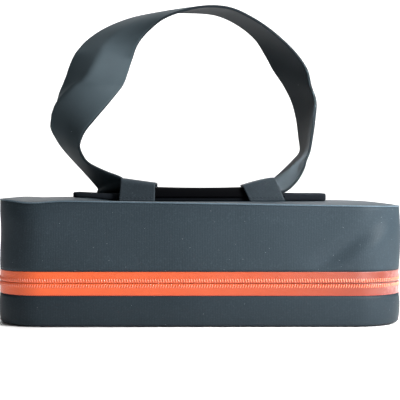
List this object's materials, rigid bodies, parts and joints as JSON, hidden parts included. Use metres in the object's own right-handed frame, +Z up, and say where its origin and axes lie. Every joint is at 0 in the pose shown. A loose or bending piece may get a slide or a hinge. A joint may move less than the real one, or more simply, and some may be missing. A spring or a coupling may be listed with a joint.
{
  "type": "sandbag",
  "caption": "Low welded-fabric sandbag with a three-sided coil zip, a hinged lid, inner sand packs and a folding webbing handle.",
  "frame": {"origin": "centre of the bag's footprint on the surface that it stands on", "axes": "+X along the bag, to the right as seen from its front; -Y towards the front, where the zip band runs across; +Z up"},
  "size_m": [0.3233, 0.1618, 0.256],
  "materials": {
    "coated_fabric": "satin",
    "strap_fabric": "satin",
    "zip_film": "satin",
    "zip_coil": "satin",
    "zip_metal": "satin",
    "pull_rubber": "matte",
    "pad_rubber": "matte",
    "board_plastic": "matte",
    "liner_fabric": "matte",
    "sand": "matte"
  },
  "bodies": {
    "base": {"base_board": "board_plastic", "base_panel": "coated_fabric", "lower_wall": "coated_fabric", "pack_closure_left": "liner_fabric", "pack_closure_middle": "liner_fabric", "pack_closure_right": "liner_fabric", "pack_liner_left": "liner_fabric", "pack_liner_middle": "liner_fabric", "pack_liner_right": "liner_fabric", "rear_hinge_lower": "coated_fabric", "sand_fill_left": "sand", "sand_fill_middle": "sand", "sand_fill_right": "sand", "zip_coil_lower": "zip_coil", "zip_stop_left": "zip_metal", "zip_stop_right": "zip_metal", "zip_tape_lower": "zip_film"},
    "lid": {"handle_pad": "pad_rubber", "keeper_left": "coated_fabric", "keeper_right": "coated_fabric", "rear_hinge_upper": "coated_fabric", "rim_weld": "coated_fabric", "strap_root_left": "strap_fabric", "strap_root_right": "strap_fabric", "strap_run": "strap_fabric", "top_backing": "coated_fabric", "top_panel": "coated_fabric", "upper_wall": "coated_fabric", "zip_coil_upper": "zip_coil", "zip_tape_upper": "zip_film"},
    "handle": {"handle_leg_left": "strap_fabric", "handle_grip": "strap_fabric", "handle_leg_right": "strap_fabric"},
    "slider_front": {"slider_front": "zip_metal", "slider_bridge_front": "zip_metal"},
    "pull_front": {"pull_front": "pull_rubber"},
    "slider_rear": {"slider_rear": "zip_metal", "slider_bridge_rear": "zip_metal"},
    "pull_rear": {"pull_rear": "pull_rubber"}
  },
  "joints": [
    {"name": "lid_hinge", "type": "hinge", "parent": "base", "child": "lid", "pos_m": [0, 0.08, 0.0332], "axis": [-1, 0, 0], "range_deg": [0, 70]},
    {"name": "handle_fold", "type": "hinge", "parent": "lid", "child": "handle", "pos_m": [0, 0, 0.104], "axis": [1, 0, 0], "range_deg": [-60, 60]},
    {"name": "slider_front_slide", "type": "slide", "parent": "base", "child": "slider_front", "axis": [0, -1, 0], "range_m": [0, 0.027]},
    {"name": "slider_rear_slide", "type": "slide", "parent": "base", "child": "slider_rear", "axis": [0, 1, 0], "range_m": [0, 0.027]},
    {"name": "pull_front_swing", "type": "hinge", "parent": "slider_front", "child": "pull_front", "pos_m": [0.1628, -0.007, 0.0332], "axis": [0, -1, 0], "range_deg": [-5, 110]},
    {"name": "pull_rear_swing", "type": "hinge", "parent": "slider_rear", "child": "pull_rear", "pos_m": [0.1628, 0.007, 0.0332], "axis": [0, -1, 0], "range_deg": [-5, 110]}
  ]
}
